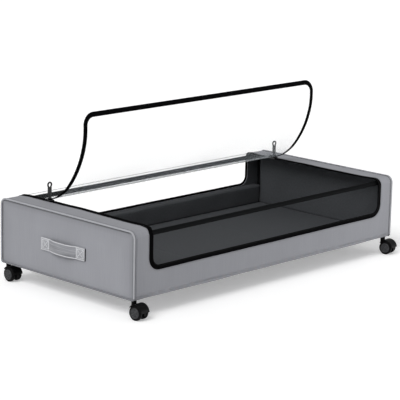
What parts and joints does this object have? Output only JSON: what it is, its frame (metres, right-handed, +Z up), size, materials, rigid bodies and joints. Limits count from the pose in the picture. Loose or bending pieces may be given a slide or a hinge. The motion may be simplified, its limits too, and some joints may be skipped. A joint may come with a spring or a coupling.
{
  "type": "under bed storage box",
  "caption": "Low fabric storage box over a tube frame, with swivel casters, strap handles on its ends, long side windows and a clear zip-round lid.",
  "frame": {"origin": "middle of the floor area that the box stands on, at floor height", "axes": "+X along the long side, to the right seen from the front; +Y to the back, where the lid folds; +Z up"},
  "size_m": [0.825, 0.4422, 0.3745],
  "materials": {
    "cover_fabric": "woven polyester, matt",
    "lining_fabric": "dark non-woven lining",
    "floor_board": "board covered in lining cloth",
    "strap_webbing": "woven webbing",
    "zip_tape": "black zip tape with coil teeth",
    "clear_pvc": "clear flexible sheet",
    "black_tube": "black powder coat",
    "black_zinc": "black painted die casting",
    "black_moulding": "moulded black plastic",
    "zinc_steel": "zinc plated steel",
    "wheel_tread": "moulded black wheel"
  },
  "bodies": {
    "box": {"end_panel_left": "cover_fabric", "end_panel_right": "cover_fabric", "wrap_end_left": "cover_fabric", "wrap_end_right": "cover_fabric", "wrap_front": "cover_fabric", "wrap_back": "cover_fabric", "wrap_bottom": "cover_fabric", "end_piping": "cover_fabric", "lining_ends": "lining_fabric", "lining_sides": "lining_fabric", "floor_board": "floor_board", "handle_left": "strap_webbing", "handle_right": "strap_webbing", "zip_track": "zip_tape", "rear_sheet": "clear_pvc", "top_tube_front": "black_tube", "top_tube_back": "black_tube", "top_tube_left": "black_tube", "top_tube_right": "black_tube", "bottom_tube_front": "black_tube", "bottom_tube_back": "black_tube", "bottom_tube_left": "black_tube", "bottom_tube_right": "black_tube", "corner_posts": "black_tube", "cross_tubes": "black_tube", "top_corners": "black_moulding", "bottom_corners": "black_moulding", "caster_stems": "black_moulding"},
    "caster_front_left": {"hood_front_left": "black_moulding", "axle_front_left": "zinc_steel"},
    "wheel_front_left_a": {"wheel_front_left_a": "wheel_tread"},
    "wheel_front_left_b": {"wheel_front_left_b": "wheel_tread"},
    "caster_front_right": {"hood_front_right": "black_moulding", "axle_front_right": "zinc_steel"},
    "wheel_front_right_a": {"wheel_front_right_a": "wheel_tread"},
    "wheel_front_right_b": {"wheel_front_right_b": "wheel_tread"},
    "caster_back_left": {"hood_back_left": "black_moulding", "axle_back_left": "zinc_steel"},
    "wheel_back_left_a": {"wheel_back_left_a": "wheel_tread"},
    "wheel_back_left_b": {"wheel_back_left_b": "wheel_tread"},
    "caster_back_right": {"hood_back_right": "black_moulding", "axle_back_right": "zinc_steel"},
    "wheel_back_right_a": {"wheel_back_right_a": "wheel_tread"},
    "wheel_back_right_b": {"wheel_back_right_b": "wheel_tread"},
    "lid_1": {"lid_sheet_1": "clear_pvc", "lid_tape_1": "zip_tape"},
    "lid_2": {"lid_sheet_2": "clear_pvc", "lid_tape_2": "zip_tape"},
    "lid_3": {"lid_sheet_3": "clear_pvc", "lid_tape_3": "zip_tape"},
    "lid_4": {"lid_sheet_4": "clear_pvc", "lid_tape_4": "zip_tape"},
    "lid_5": {"lid_sheet_5": "clear_pvc", "lid_tape_5": "zip_tape"},
    "slider_left": {"slider_left": "black_zinc"},
    "pull_left": {"pull_left": "black_zinc"},
    "slider_right": {"slider_right": "black_zinc"},
    "pull_right": {"pull_right": "black_zinc"}
  },
  "joints": [
    {"name": "swivel_front_left", "type": "hinge", "parent": "box", "child": "caster_front_left", "pos_m": [-0.3875, -0.189, 0.037], "axis": [0, 0, 1], "continuous": true},
    {"name": "roll_front_left_a", "type": "hinge", "parent": "caster_front_left", "child": "wheel_front_left_a", "pos_m": [-0.38659, -0.20197, 0.015], "axis": [0.9976, 0.0698, 0], "continuous": true},
    {"name": "roll_front_left_b", "type": "hinge", "parent": "caster_front_left", "child": "wheel_front_left_b", "pos_m": [-0.38659, -0.20197, 0.015], "axis": [0.9976, 0.0698, 0], "continuous": true},
    {"name": "swivel_front_right", "type": "hinge", "parent": "box", "child": "caster_front_right", "pos_m": [0.3875, -0.189, 0.037], "axis": [0, 0, 1], "continuous": true},
    {"name": "roll_front_right_a", "type": "hinge", "parent": "caster_front_right", "child": "wheel_front_right_a", "pos_m": [0.38976, -0.2018, 0.015], "axis": [0.9848, 0.1736, 0], "continuous": true},
    {"name": "roll_front_right_b", "type": "hinge", "parent": "caster_front_right", "child": "wheel_front_right_b", "pos_m": [0.38976, -0.2018, 0.015], "axis": [0.9848, 0.1736, 0], "continuous": true},
    {"name": "swivel_back_left", "type": "hinge", "parent": "box", "child": "caster_back_left", "pos_m": [-0.3875, 0.189, 0.037], "axis": [0, 0, 1], "continuous": true},
    {"name": "roll_back_left_a", "type": "hinge", "parent": "caster_back_left", "child": "wheel_back_left_a", "pos_m": [-0.3875, 0.176, 0.015], "axis": [1, 0, 0], "continuous": true},
    {"name": "roll_back_left_b", "type": "hinge", "parent": "caster_back_left", "child": "wheel_back_left_b", "pos_m": [-0.3875, 0.176, 0.015], "axis": [1, 0, 0], "continuous": true},
    {"name": "swivel_back_right", "type": "hinge", "parent": "box", "child": "caster_back_right", "pos_m": [0.3875, 0.189, 0.037], "axis": [0, 0, 1], "continuous": true},
    {"name": "roll_back_right_a", "type": "hinge", "parent": "caster_back_right", "child": "wheel_back_right_a", "pos_m": [0.38976, 0.2018, 0.015], "axis": [-0.9848, 0.1736, 0], "continuous": true},
    {"name": "roll_back_right_b", "type": "hinge", "parent": "caster_back_right", "child": "wheel_back_right_b", "pos_m": [0.38976, 0.2018, 0.015], "axis": [-0.9848, 0.1736, 0], "continuous": true},
    {"name": "lid_fold", "type": "hinge", "parent": "box", "child": "lid_1", "pos_m": [0, 0.1, 0.1783], "axis": [1, 0, 0], "range_deg": [-15, 31]},
    {"name": "lid_bend_2", "type": "hinge", "parent": "lid_1", "child": "lid_2", "pos_m": [0, 0.05971, 0.20251], "axis": [1, 0, 0], "range_deg": [-10.17, 21.01]},
    {"name": "lid_bend_3", "type": "hinge", "parent": "lid_2", "child": "lid_3", "pos_m": [0, 0.03078, 0.23954], "axis": [1, 0, 0], "range_deg": [-5.82, 12.01]},
    {"name": "lid_bend_4", "type": "hinge", "parent": "lid_3", "child": "lid_4", "pos_m": [0, 0.01017, 0.28179], "axis": [1, 0, 0], "range_deg": [-6.3, 13.01]},
    {"name": "lid_bend_5", "type": "hinge", "parent": "lid_4", "child": "lid_5", "pos_m": [0, -0.0004, 0.32758], "axis": [1, 0, 0], "range_deg": [-8.24, 17.01]},
    {"name": "slide_left", "type": "slide", "parent": "box", "child": "slider_left", "axis": [0, 1, 0], "range_m": [0, 0.068]},
    {"name": "tab_left", "type": "hinge", "parent": "slider_left", "child": "pull_left", "pos_m": [-0.3455, 0.1083, 0.1815], "axis": [1, 0, 0], "range_deg": [-75, 20]},
    {"name": "slide_right", "type": "slide", "parent": "box", "child": "slider_right", "axis": [0, 1, 0], "range_m": [0, 0.068]},
    {"name": "tab_right", "type": "hinge", "parent": "slider_right", "child": "pull_right", "pos_m": [0.3455, 0.1083, 0.1815], "axis": [1, 0, 0], "range_deg": [-75, 20]}
  ],
  "couplings": [
    {"joint": "lid_bend_2", "follows": "lid_fold", "ratio": 0.67742},
    {"joint": "lid_bend_3", "follows": "lid_fold", "ratio": 0.3871},
    {"joint": "lid_bend_4", "follows": "lid_fold", "ratio": 0.41935},
    {"joint": "lid_bend_5", "follows": "lid_fold", "ratio": 0.54839}
  ]
}
